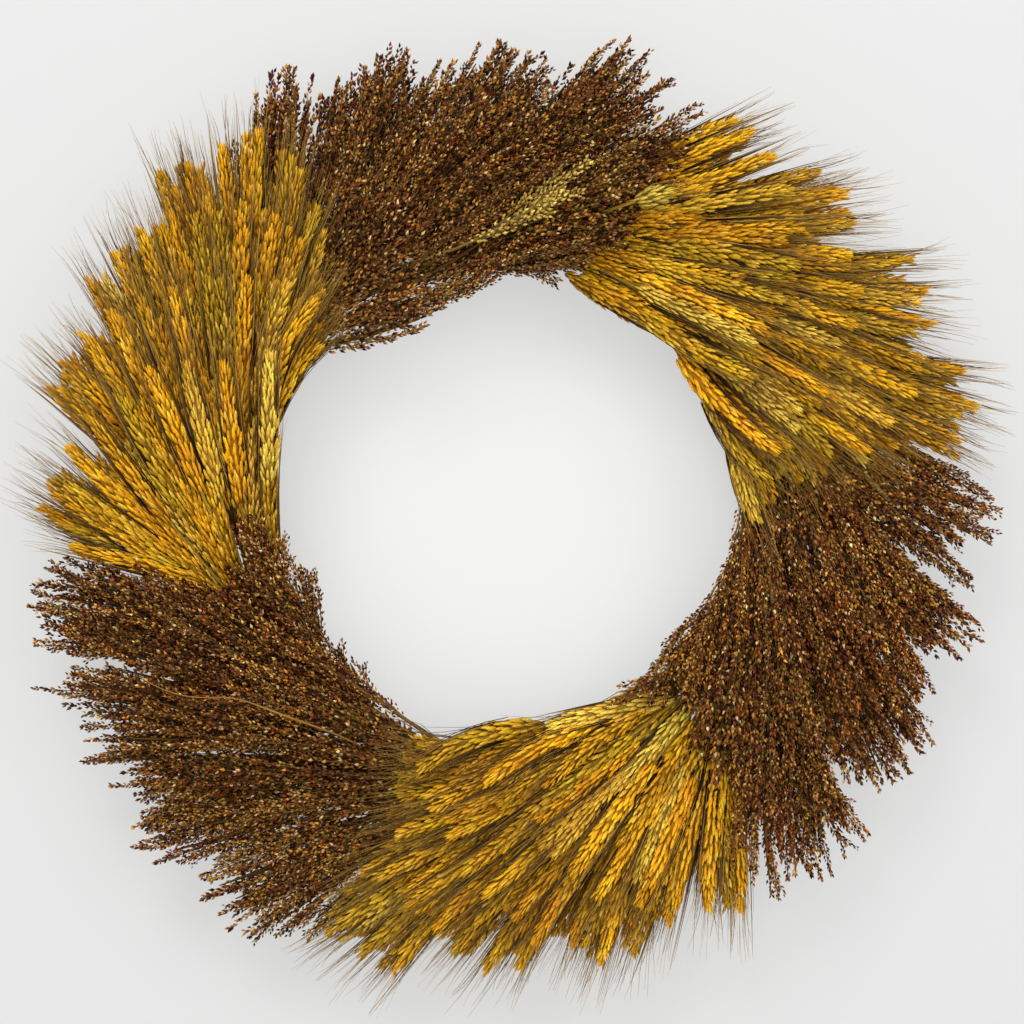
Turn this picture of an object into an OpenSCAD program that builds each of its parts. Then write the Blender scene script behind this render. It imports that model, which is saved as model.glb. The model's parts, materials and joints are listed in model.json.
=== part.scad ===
// Harvest door wreath: bearded wheat and broomcorn bunches bound in six
// alternating sections on a four-rail wire frame, with a swinging wire hanger.
// Millimetres. +Z up, front of the wreath towards -Y, origin at the centre of
// the ring on the plane that lies against the door.

/* [Wire frame] */
// Diameter of the inner rail, wire centre to wire centre
inner_rail_d = 310; // [308:1:311]
// Diameter of the outer rail, wire centre to wire centre
outer_rail_d = 406; // [405:1:407]
// Diameter of the wire that the rails are rolled from
rail_wire_d = 3.2; // [3.0:0.1:3.2]
// How far the inner and outer rails stand off the door, wire centre
rail_stand_off = 19; // [18.8:0.1:19.2]
// Diameter of the wire of the cross braces
brace_wire_d = 2.4; // [2.4:0.1:2.6]
// Number of cross braces welded inside the frame's trough
brace_count = 8; // [4:4:8]

/* [Bunches] */
// Distance from the ring's centre to the middle of each tied bunch
bind_r = 172; // [171.5:0.1:172.5]
// Depth of the tied stems in front of the door
bind_depth = 27; // [27:0.1:28]
// Rise towards the front for each degree a head reaches round the ring
shingle_rise = 0.95; // [0.95:0.01:1.1]

/* [Wheat] */
// Length of a wheat ear without its awns
ear_len = 86; // [70:1:88]
// Largest diameter of a wheat ear
ear_d = 9.8; // [7:0.1:9.8]
// Length of the closed tuft of awns beyond the ear
awn_len = 24; // [10:1:28]
// Diameter of a wheat stem
wheat_stem_d = 2.2; // [1.6:0.1:2.3]
// Radius that the outermost wheat ears reach, without awns
wheat_reach = 276; // [260:1:280]

/* [Broomcorn] */
// Length of the branched broomcorn head
panicle_len = 118; // [95:1:120]
// Largest diameter of the broomcorn head
panicle_d = 10.8; // [8:0.1:10.8]
// Diameter of a broomcorn stem
broom_stem_d = 2.4; // [1.6:0.1:2.4]
// Radius that the outermost broomcorn tips reach
broom_reach = 292; // [280:1:295]

/* [Wiring] */
// Diameter of the paddle wire that binds the bunches to the frame
paddle_wire_d = 1.0; // [0.8:0.1:1.0]
// Diameter of the wire that ties each bunch
tie_wire_d = 0.8; // [0.6:0.1:0.8]

/* [Hanger] */
// Diameter of the hanger's wire
hanger_wire_d = 2.4; // [2.0:0.1:2.4]
// Clear width inside the hanger's bail
hanger_open_w = 35.6; // [32:0.1:40]
// Height of the hanger's bail from its hinge to the middle of its top wire
hanger_rise = 45; // [40:1:50]
// Length of the crimped sleeve that the bail turns in
sleeve_len = 26; // [20:1:26]
// Radial running clearance between the bail and its sleeve
sleeve_gap = 0.05; // [0.03:0.01:0.08]
// Wall of the crimped sleeve
sleeve_wall = 1.35; // [1.2:0.05:1.4]

/* [Hidden] */

inner_r = inner_rail_d / 2;
outer_r = outer_rail_d / 2;
rail_r = rail_wire_d / 2;
paddle_r = paddle_wire_d / 2;
tie_r = tie_wire_d / 2;

// ---------- shared shapes ----------
// Pieces placed round the ring are drawn at its top: x runs clockwise as seen
// from the front, z is the radius, and depth in front of the door is -y.

// turns +Z to a direction
module aim(direction) {
    rotate([0, acos(direction[2] / norm(direction)), atan2(direction[1], direction[0])])
        children();
}

// straight wire between two points
module wire(from, to, r) {
    translate(from) aim(to - from) cylinder(r = r, h = norm(to - from), $fn = 24);
}

// quarter circle of wire, from +X to +Y
module quarter_bend(bend, r) {
    rotate_extrude(angle = 90, $fn = 48) translate([bend, 0]) circle(r = r, $fn = 24);
}

// closed wire rectangle with round corners, in the plane of depth and radius
module wire_loop(x, inner, outer, back, front, bend, r) {
    // [depth, radius, turn]
    corners = [[back + bend, inner + bend, 0], [back + bend, outer - bend, 90],
               [front - bend, outer - bend, 180], [front - bend, inner + bend, 270]];
    translate([x, 0, 0]) {
        for (depth = [back, front])
            wire([0, -depth, inner + bend], [0, -depth, outer - bend], r);
        for (z = [inner, outer])
            wire([0, -back - bend, z], [0, -front + bend, z], r);
        for (c = corners)
            translate([0, -c[0], c[1]]) rotate([0, 90, 0]) rotate([0, 0, c[2]])
                quarter_bend(bend, r);
    }
}

// ---------- wire frame ----------

mid_inner_r = inner_r + 15;
mid_outer_r = outer_r - 16;
// the middle rails clear the paddle wire that passes behind them
mid_stand_off = paddle_wire_d + 0.15 + rail_r;

brace_r = brace_wire_d / 2;
brace_weld = 0.1; // overlap of a brace and the middle rails
brace_floor = mid_stand_off + rail_r + brace_r - brace_weld;
brace_top = rail_stand_off + 2.2;
first_brace = 18.5;
joint_r = brace_r * 1.03;

module ring(r, stand_off) {
    color("darkgreen") translate([0, -stand_off, 0]) rotate([90, 0, 0])
        rotate_extrude($fn = 180) translate([r, 0]) circle(r = rail_r, $fn = 24);
}

module frame_rail_inner() { ring(inner_r, rail_stand_off); }
module frame_rail_mid_inner() { ring(mid_inner_r, mid_stand_off); }
module frame_rail_mid_outer() { ring(mid_outer_r, mid_stand_off); }
module frame_rail_outer() { ring(outer_r, rail_stand_off); }

// U-shaped braces that sit in the trough and are welded to all four rails
module frame_cross_braces() {
    // centreline from the inner rail to the outer one
    path = [[0, -brace_top, inner_r + 1.6], [0, -brace_floor, inner_r + 12.4],
            [0, -brace_floor, outer_r - 12.6], [0, -brace_top, outer_r - 1.6]];
    color("darkgreen")
    for (b = [0 : brace_count - 1])
        rotate([0, first_brace + b * 360 / brace_count, 0]) {
            for (q = [0 : 2]) wire(path[q], path[q + 1], brace_r);
            for (q = [0 : 3]) translate(path[q]) sphere(r = joint_r, $fn = 24);
        }
}

// ---------- layout of the bunches ----------

// Sections in order, clockwise as seen from the front; even ones are wheat
WHEAT_LEFT = 0;
BROOM_TOP = 1;
WHEAT_RIGHT = 2;
BROOM_RIGHT = 3;
WHEAT_BOTTOM = 4;
BROOM_LEFT = 5;
section_count = 6;
section_bunches = 4;
last_place = section_bunches - 1;
first_bunch = 251; // degrees clockwise from the top
bunch_step = 360 / (section_count * section_bunches);

// Kinds, which index the [wheat, broomcorn] tables
WHEAT = 0;
BROOM = 1;
stem_r = [wheat_stem_d / 2, broom_stem_d / 2];
// Stalks in each of a section's four bunches
stalk_counts = [[9, 9, 8, 7], [9, 8, 7, 6]];
// Heading off the tangent of the one stalk that closes each bunch along the hole
edge_heading = [-23, -25];
// Heading off the tangent of the next stalk outwards: first bunch, last bunch
inner_heading = [[-13, 8], [-15, 14]];
// Heading off the tangent of the outermost stalk: first bunch, last bunch
outer_heading = [[42, 47], [44, 48]];
heading_jitter = 0.5;
// Spacing of the stems across the tie
stem_pitch = [3.4, 3.8];
// Alternate stems lie this far behind and in front of bind_depth
stem_stagger = 1.2;
// Shortest and longest stalk, before jitter
len_min = [106, 122];
len_max = [156, 180];
len_jitter = [4, 5];
// How far round the ring, in degrees, a tip may reach, by bunch
reach_deg = [[56, 54, 46, 35], [56, 54, 46, 40]];
// Radius that the outermost tips reach
reach = [wheat_reach, broom_reach];
// Share of the way outwards that the last bunch's innermost stalk gains
last_bunch_gain = 0.35;
reach_power = 1.6;
stem_tail = 5; // stem length on the other side of the tie

// Fields of a stalk
HEADING = 0; // degrees off the tangent
FOOT = 1;    // stem's radius from the centre at the tie
LENGTH = 2;  // tie to tip
RISE = 3;    // towards the front, per mm
DEPTH = 4;   // in front of the door at the tie

function kind_of(section) = section % 2;
function bunch_index(section, place) = section_bunches * section + place;
function bunch_angle(section, place) = first_bunch + bunch_step * bunch_index(section, place);
function blend(ends, share) = ends[0] + (ends[1] - ends[0]) * share;
// repeatable variation between -1 and 1
function jitter(a, b) = sin(151 * a + 67 * b + 29 * a * b);
// width of a bunch's row of stems from its middle to its end stem's centre
function half_row(kind, place) = (stalk_counts[kind][place] - 1) / 2 * stem_pitch[kind];

// stalk m of a bunch, counted outwards from the hole
function stalk(section, place, m) =
    let (kind = kind_of(section),
         index = bunch_index(section, place),
         last = stalk_counts[kind][place] - 1,
         progress = place / last_place,
         fan = [blend(inner_heading[kind], progress), blend(outer_heading[kind], progress)],
         base_heading = m == 0 ? edge_heading[kind] : blend(fan, (m - 1) / (last - 1)),
         heading = base_heading + heading_jitter * jitter(index, m),
         foot = bind_r + (m - last / 2) * stem_pitch[kind],
         inwardness = (1 - m / last) * (1 - last_bunch_gain * progress),
         tip_r = bind_r + (reach[kind] - bind_r) * (1 - pow(inwardness, reach_power)),
         // length at which the tip meets the radius tip_r
         slope = 2 * foot * sin(heading),
         len_to_radius = (-slope + sqrt(slope * slope - 4 * (foot * foot - tip_r * tip_r))) / 2,
         // length at which the tip meets the angle limit; the floor keeps it finite
         limit = reach_deg[kind][place],
         len_to_angle = foot * sin(limit) / max(0.05, cos(heading + limit)),
         len = min(max(min(len_to_radius, len_to_angle), len_min[kind]), len_max[kind])
               + len_jitter[kind] * jitter(index + 3, 2 * m + 1),
         tip_deg = atan2(len * cos(heading), foot + len * sin(heading)))
    [heading, foot, len, shingle_rise * tip_deg / len,
     bind_depth + (m % 2 == 0 ? -stem_stagger : stem_stagger)];

// ---------- stalks ----------

// turns a profile of [radius, distance from the tie] about a stalk's line
module turned_stalk(s, profile) {
    translate([0, -s[DEPTH], s[FOOT]])
        aim([cos(s[HEADING]), -s[RISE], sin(s[HEADING])])
            rotate_extrude($fn = 32) polygon(profile);
}

// stem, ear and a tapering tuft of awns
module wheat_stalk(s) {
    r = ear_d / 2;
    stem = stem_r[WHEAT];
    tip = s[LENGTH];
    ear = tip - ear_len;
    color("goldenrod") turned_stalk(s, [
        [0, -stem_tail], [stem, -stem_tail], [stem, ear - 2],
        [0.6 * r, ear + 4],
        [0.86 * r, ear + 0.16 * ear_len],
        [r, ear + 0.38 * ear_len],
        [0.94 * r, ear + 0.64 * ear_len],
        [0.68 * r, ear + 0.86 * ear_len],
        [1.6, tip], [0.4, tip + awn_len], [0, tip + awn_len]]);
}

// stem and a full, blunt head
module broomcorn_stalk(s) {
    r = panicle_d / 2;
    stem = stem_r[BROOM];
    tip = s[LENGTH];
    head = tip - panicle_len;
    color("saddlebrown") turned_stalk(s, [
        [0, -stem_tail], [stem, -stem_tail], [stem, max(0, head - 4)],
        [0.62 * r, head + 0.12 * panicle_len],
        [0.94 * r, head + 0.38 * panicle_len],
        [r, head + 0.62 * panicle_len],
        [0.8 * r, head + 0.84 * panicle_len],
        [0.5 * r, head + 0.95 * panicle_len],
        [0.8, tip], [0, tip]]);
}

// one bunch, at place 0 to 3 of its section
module bunch(section, place) {
    kind = kind_of(section);
    rotate([0, bunch_angle(section, place), 0])
        for (m = [0 : stalk_counts[kind][place] - 1])
            if (kind == WHEAT) wheat_stalk(stalk(section, place, m));
            else broomcorn_stalk(stalk(section, place, m));
}

// ---------- wiring ----------

// steepest headings at the two ends of a row of stems
outer_slant = outer_heading[BROOM][1] + heading_jitter;
inner_slant = heading_jitter - edge_heading[BROOM];

// room a tie needs beyond the centre of a slanting end stem
function tie_room(stem, slant) = stem / cos(slant) + tie_r * tan(slant) + tie_r + 0.2;

// the small closed tie round each bunch's stems, on the tail side of the paddle wire's turn
module bunch_ties(section) {
    kind = kind_of(section);
    stem = stem_r[kind];
    // 1.06 allows for the stems' slant towards the front
    half_depth = stem_stagger + 1.06 * stem + tie_r + 0.35;
    color("olivedrab")
    for (place = [0 : last_place])
        rotate([0, bunch_angle(section, place), 0])
            wire_loop(x = 0,
                      inner = bind_r - half_row(kind, place) - tie_room(stem, inner_slant),
                      outer = bind_r + half_row(kind, place) + tie_room(stem, outer_slant),
                      back = bind_depth - half_depth,
                      front = bind_depth + half_depth + 0.15,
                      bend = 1.6, r = tie_r);
}

turn_x = 4; // the turn's distance clockwise of the tie
paddle_back = paddle_r + 0.05;
run_offset = 8; // a run starts this far inside bind_r and ends this far outside it
run_r = paddle_r * 0.96;

// one length of paddle wire: a turn round the frame and stems at each bunch,
// joined behind the frame by the runs between the turns
module paddle_wire(section) {
    run_start = bind_r - run_offset;
    run_end = bind_r + run_offset;
    color("darkgreen") {
        for (place = [0 : last_place])
            rotate([0, bunch_angle(section, place), 0])
                wire_loop(x = turn_x,
                          inner = inner_r - rail_r - paddle_r - 1.2,
                          outer = outer_r + rail_r + paddle_r + 1.4,
                          back = paddle_back,
                          front = bind_depth + stem_stagger + stem_r[kind_of(section)]
                                  + paddle_r + 1.8,
                          bend = 3, r = paddle_r);
        for (place = [0 : last_place - 1])
            rotate([0, bunch_angle(section, place), 0])
                wire([turn_x, -paddle_back, run_start],
                     [turn_x * cos(bunch_step) + run_end * sin(bunch_step), -paddle_back,
                      -turn_x * sin(bunch_step) + run_end * cos(bunch_step)], run_r);
    }
}

// ---------- hanger ----------

hanger_r = hanger_wire_d / 2;
bore_r = hanger_r + sleeve_gap;
sleeve_r = bore_r + sleeve_wall;
// the sleeve lies behind the top of the outer rail and overlaps it by 0.2
hinge = [0, -(rail_stand_off - rail_r - sleeve_r + 0.2), outer_r];
leg_x = hanger_open_w / 2 + hanger_r;
leg_top = hanger_rise - leg_x;
hanger_bend = 3.5;
// the upright bail leans this far towards the heads, where it comes to rest
bail_lean = 2;

module hanger_sleeve() {
    color("silver") translate(hinge - [sleeve_len / 2, 0, 0]) rotate([0, 90, 0])
        difference() {
            cylinder(r = sleeve_r, h = sleeve_len, $fn = 48);
            translate([0, 0, -1]) cylinder(r = bore_r, h = sleeve_len + 2, $fn = 48);
        }
}

// closed bail: a straight hinge bar, two legs and a half-round top for the hook
module hanger_loop() {
    bar_x = leg_x - hanger_bend;
    color("silver") translate(hinge) rotate([bail_lean, 0, 0]) {
        wire([-bar_x, 0, 0], [bar_x, 0, 0], hanger_r);
        for (side = [-1, 1]) {
            translate([side * bar_x, 0, hanger_bend]) rotate([90, 0, 0])
                rotate([0, 0, side > 0 ? 270 : 180]) quarter_bend(hanger_bend, hanger_r);
            wire([side * leg_x, 0, hanger_bend], [side * leg_x, 0, leg_top], hanger_r);
        }
        translate([0, 0, leg_top]) rotate([90, 0, 0])
            rotate_extrude(angle = 180, $fn = 72) translate([leg_x, 0])
                circle(r = hanger_r, $fn = 24);
    }
}

frame_rail_inner();
frame_rail_mid_inner();
frame_rail_mid_outer();
frame_rail_outer();
frame_cross_braces();
bunch(WHEAT_LEFT, 0);
bunch(WHEAT_LEFT, 1);
bunch(WHEAT_LEFT, 2);
bunch(WHEAT_LEFT, 3);
bunch(BROOM_TOP, 0);
bunch(BROOM_TOP, 1);
bunch(BROOM_TOP, 2);
bunch(BROOM_TOP, 3);
bunch(WHEAT_RIGHT, 0);
bunch(WHEAT_RIGHT, 1);
bunch(WHEAT_RIGHT, 2);
bunch(WHEAT_RIGHT, 3);
bunch(BROOM_RIGHT, 0);
bunch(BROOM_RIGHT, 1);
bunch(BROOM_RIGHT, 2);
bunch(BROOM_RIGHT, 3);
bunch(WHEAT_BOTTOM, 0);
bunch(WHEAT_BOTTOM, 1);
bunch(WHEAT_BOTTOM, 2);
bunch(WHEAT_BOTTOM, 3);
bunch(BROOM_LEFT, 0);
bunch(BROOM_LEFT, 1);
bunch(BROOM_LEFT, 2);
bunch(BROOM_LEFT, 3);
bunch_ties(WHEAT_LEFT);
bunch_ties(BROOM_TOP);
bunch_ties(WHEAT_RIGHT);
bunch_ties(BROOM_RIGHT);
bunch_ties(WHEAT_BOTTOM);
bunch_ties(BROOM_LEFT);
paddle_wire(WHEAT_LEFT);
paddle_wire(BROOM_TOP);
paddle_wire(WHEAT_RIGHT);
paddle_wire(BROOM_RIGHT);
paddle_wire(WHEAT_BOTTOM);
paddle_wire(BROOM_LEFT);
hanger_sleeve();
hanger_loop();
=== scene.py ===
import json
import math

import bpy
import numpy as np
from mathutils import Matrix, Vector


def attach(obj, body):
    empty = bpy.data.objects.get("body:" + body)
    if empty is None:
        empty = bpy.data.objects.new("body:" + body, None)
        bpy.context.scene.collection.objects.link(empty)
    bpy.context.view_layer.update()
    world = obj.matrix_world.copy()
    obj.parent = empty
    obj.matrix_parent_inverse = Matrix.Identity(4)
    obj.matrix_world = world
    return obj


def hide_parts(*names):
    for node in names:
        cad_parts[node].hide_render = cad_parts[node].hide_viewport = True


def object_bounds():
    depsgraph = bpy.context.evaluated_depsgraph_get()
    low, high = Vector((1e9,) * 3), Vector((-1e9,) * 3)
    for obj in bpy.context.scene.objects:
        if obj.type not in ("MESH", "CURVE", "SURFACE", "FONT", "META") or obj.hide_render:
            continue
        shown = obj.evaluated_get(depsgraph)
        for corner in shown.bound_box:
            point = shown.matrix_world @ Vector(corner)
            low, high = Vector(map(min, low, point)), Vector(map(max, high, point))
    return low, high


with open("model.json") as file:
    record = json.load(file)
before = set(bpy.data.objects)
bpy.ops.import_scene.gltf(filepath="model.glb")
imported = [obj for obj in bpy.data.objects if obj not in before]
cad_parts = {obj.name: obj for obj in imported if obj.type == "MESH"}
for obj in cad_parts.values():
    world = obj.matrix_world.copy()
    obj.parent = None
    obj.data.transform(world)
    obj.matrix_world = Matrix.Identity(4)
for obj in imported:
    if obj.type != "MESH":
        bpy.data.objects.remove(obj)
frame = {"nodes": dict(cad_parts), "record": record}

CAD_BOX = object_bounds()
MM = 0.001
NODES = frame["nodes"]
ROOT = "wreath"
SECTIONS = [("wheat_left", "wheat"), ("broomcorn_top", "broomcorn"), ("wheat_right", "wheat"),
            ("broomcorn_right", "broomcorn"), ("wheat_bottom", "wheat"), ("broomcorn_left", "broomcorn")]
# lengths along a CAD stalk, in mm
TAIL, AWN_CONE, EAR, PANICLE = 5.0, 24.0, 86.0, 118.0


def lin(h):
    c = np.array([int(h[i:i + 2], 16) / 255 for i in (1, 3, 5)])
    return np.where(c <= 0.04045, c / 12.92, ((c + 0.055) / 1.055) ** 2.4)


def unit(v):
    return v / np.maximum(np.linalg.norm(v, axis=-1, keepdims=True), 1e-9)


# ---------------------------------------------------------------- CAD stalks

def stalks_of(node):
    """The stalks of one CAD bunch, from its mesh's loose parts: foot, direction and length in mm, innermost first."""
    me = NODES[node].data
    n = len(me.vertices)
    co = np.empty(n * 3); me.vertices.foreach_get("co", co)
    w = np.array(NODES[node].matrix_world)
    co = (co.reshape(-1, 3) @ w[:3, :3].T + w[:3, 3]) * 1000
    ed = np.empty(len(me.edges) * 2, dtype=np.int64); me.edges.foreach_get("vertices", ed)
    ed = ed.reshape(-1, 2)
    _, same = np.unique(np.round(co, 2), axis=0, return_inverse=True)
    same = same.reshape(-1)
    parent = np.arange(same.max() + 1)

    def find(a):
        while parent[a] != a:
            parent[a] = parent[parent[a]]
            a = parent[a]
        return a

    for a, b in same[ed]:
        ra, rb = find(a), find(b)
        if ra != rb:
            parent[ra] = rb
    lab = np.array([find(a) for a in same])
    out = []
    for g in np.unique(lab):
        p = co[lab == g]
        if len(p) < 30:
            continue
        c = (p.min(0) + p.max(0)) / 2
        _, _, vt = np.linalg.svd(p - p.mean(0), full_matrices=False)
        d = vt[0]
        s = (p - c) @ d
        lo, hi = p[s < s.min() + 0.4].mean(0), p[s > s.max() - 0.4].mean(0)
        if -lo[1] > -hi[1]:  # the foot is the end nearer the door
            lo, hi = hi, lo
        d = unit(hi - lo)
        out.append({"foot": lo + d * TAIL, "dir": d, "len": float(np.linalg.norm(hi - lo)) - TAIL})
    out.sort(key=lambda q: np.hypot(q["foot"][0], q["foot"][2]))
    return out


def frame_of(d):
    """Front and side directions square to a stalk's line."""
    f = np.array([0.0, -1.0, 0.0])
    f = unit(f - d * (f @ d))
    return f, np.cross(f, d)


FRONT_SOFT, FRONT_ROOM = 68.0, 17.0


def hold(p):
    """Presses points that stand further forward than the dense heads back towards them."""
    q = np.array(p, dtype=float)
    over = np.maximum(-q[..., 1] - FRONT_SOFT, 0.0)
    q[..., 1] += over - FRONT_ROOM * (1 - np.exp(-over / FRONT_ROOM))
    return q


class Line:
    """A stalk's centre line: straight from the CAD, with a slight bow that is nought at the foot."""

    def __init__(self, foot, d, length, bow_side=0.0, bow_front=0.0, droop=0.0, sweep=0.0):
        self.foot, self.d, self.len = foot, d, length
        self.f, self.w = frame_of(d)
        self.bs, self.bf, self.dr, self.sw = bow_side, bow_front, droop, sweep

    def at(self, s):
        s = np.asarray(s, dtype=float)
        u = np.clip(s / self.len, -0.3, 1.6)
        b = 4 * u * (1 - u) * (u > 0)
        late = 6.75 * u * u * (1 - u) * (u > 0) * (u < 1)  # most of it two thirds of the way along
        return hold(self.foot + s[..., None] * self.d + (self.bs * b + self.sw * late)[..., None] * self.w
                    + (self.bf * b + self.dr * u * u * (u > 0))[..., None] * self.f)

    def tangent(self, s):
        s = np.asarray(s, dtype=float)
        return unit(self.at(s + 0.5) - self.at(s - 0.5))


def heading(q):
    """How far a stalk heads outwards off the tangent of the ring at its foot, in degrees."""
    r = unit(np.array([q["foot"][0], 0.0, q["foot"][2]]))
    flat = unit(np.array([q["dir"][0], 0.0, q["dir"][2]]))
    return math.degrees(math.asin(float(np.clip(flat @ r, -1, 1))))


def between(st, step, rng):
    """Stalks spread evenly between each pair of neighbours, more of them where the fan opens wider."""
    out = []
    for a, b in zip(st, st[1:]):
        gap = math.degrees(math.acos(float(np.clip(a["dir"] @ b["dir"], -1, 1))))
        n = max(1, round(gap / step))
        for i in range(n):
            t = (i + 1) / (n + 1) + rng.uniform(-0.10, 0.10) / n
            out.append({"foot": a["foot"] * (1 - t) + b["foot"] * t, "dir": unit(a["dir"] * (1 - t) + b["dir"] * t),
                        "len": a["len"] * (1 - t) + b["len"] * t, "turn": i, "bow": a.get("bow", 0.0) * (1 - t) + b.get("bow", 0.0) * t})
    return out


# Where each section's heads stop, as (clockwise angle, radius in mm) from the rim of the hole outwards.
ENDS = {"wheat_left": [(311, 125), (311, 146), (317, 157), (321, 182), (329, 212), (328.6, 267), (327, 330)],
        "broomcorn_top": [(10, 125), (10, 142), (23, 177), (27, 218), (31, 278), (32, 330)],
        "wheat_right": [(98, 125), (97, 148), (88, 164), (84.5, 190), (82, 238), (85, 289), (86, 330)],
        "broomcorn_right": [(154, 118), (146, 142), (137, 155), (138.7, 187), (142, 226), (148, 279), (150, 330)],
        "wheat_bottom": [(202, 125), (201, 152), (199, 208), (204, 285), (206, 330)],
        "broomcorn_left": [(268, 125), (267, 152), (258, 163), (251, 178), (259, 226), (265, 278), (268, 330)]}


def reach_to(sec, q):
    """How far along a stalk its section's end lies, in mm."""
    d = np.array([q["dir"][0], q["dir"][2]]); o = np.array([q["foot"][0], q["foot"][2]])
    pts = np.array([(r * math.sin(math.radians(a)), r * math.cos(math.radians(a))) for a, r in ENDS[sec]])
    best = 1e9
    for a, b in zip(pts, pts[1:]):
        e = b - a
        det = d[0] * -e[1] + d[1] * e[0]
        if abs(det) < 1e-9:
            continue
        k = a - o
        t = (k[0] * -e[1] + k[1] * e[0]) / det
        v = (d[0] * k[1] - d[1] * k[0]) / det
        if 0 <= v <= 1 and t > 15:
            best = min(best, t)
    return best


def turned_in(st, limit, share):
    """Turns stalks that head further out than the limit in towards the rest of their bunch, keeping this share of the excess."""
    for q in st:
        h = heading(q)
        if h > limit:
            r = unit(np.array([q["foot"][0], 0.0, q["foot"][2]])); t = np.array([r[2], 0.0, -r[0]])
            a = math.radians(limit + (h - limit) * share)
            flat = math.hypot(q["dir"][0], q["dir"][2])
            q["dir"] = unit((t * math.cos(a) + r * math.sin(a)) * flat + np.array([0.0, q["dir"][1], 0.0]))


def aimed(st, h, length, tilt=None):
    """A stalk of a bunch at any heading, tilted forward as its neighbours are."""
    foot = np.mean([q["foot"] for q in st], 0)
    r = unit(np.array([foot[0], 0.0, foot[2]])); t = np.array([r[2], 0.0, -r[0]])
    hs = [heading(q) for q in st]
    tilt = np.interp(h, hs, [math.asin(-q["dir"][1]) for q in st]) if tilt is None else math.radians(tilt)
    flat = t * math.cos(math.radians(h)) + r * math.sin(math.radians(h))
    return {"foot": foot, "dir": unit(flat * math.cos(tilt) + np.array([0.0, -math.sin(tilt), 0.0])), "len": length, "bow": 0.0}


# ---------------------------------------------------------------- mesh batches

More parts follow.
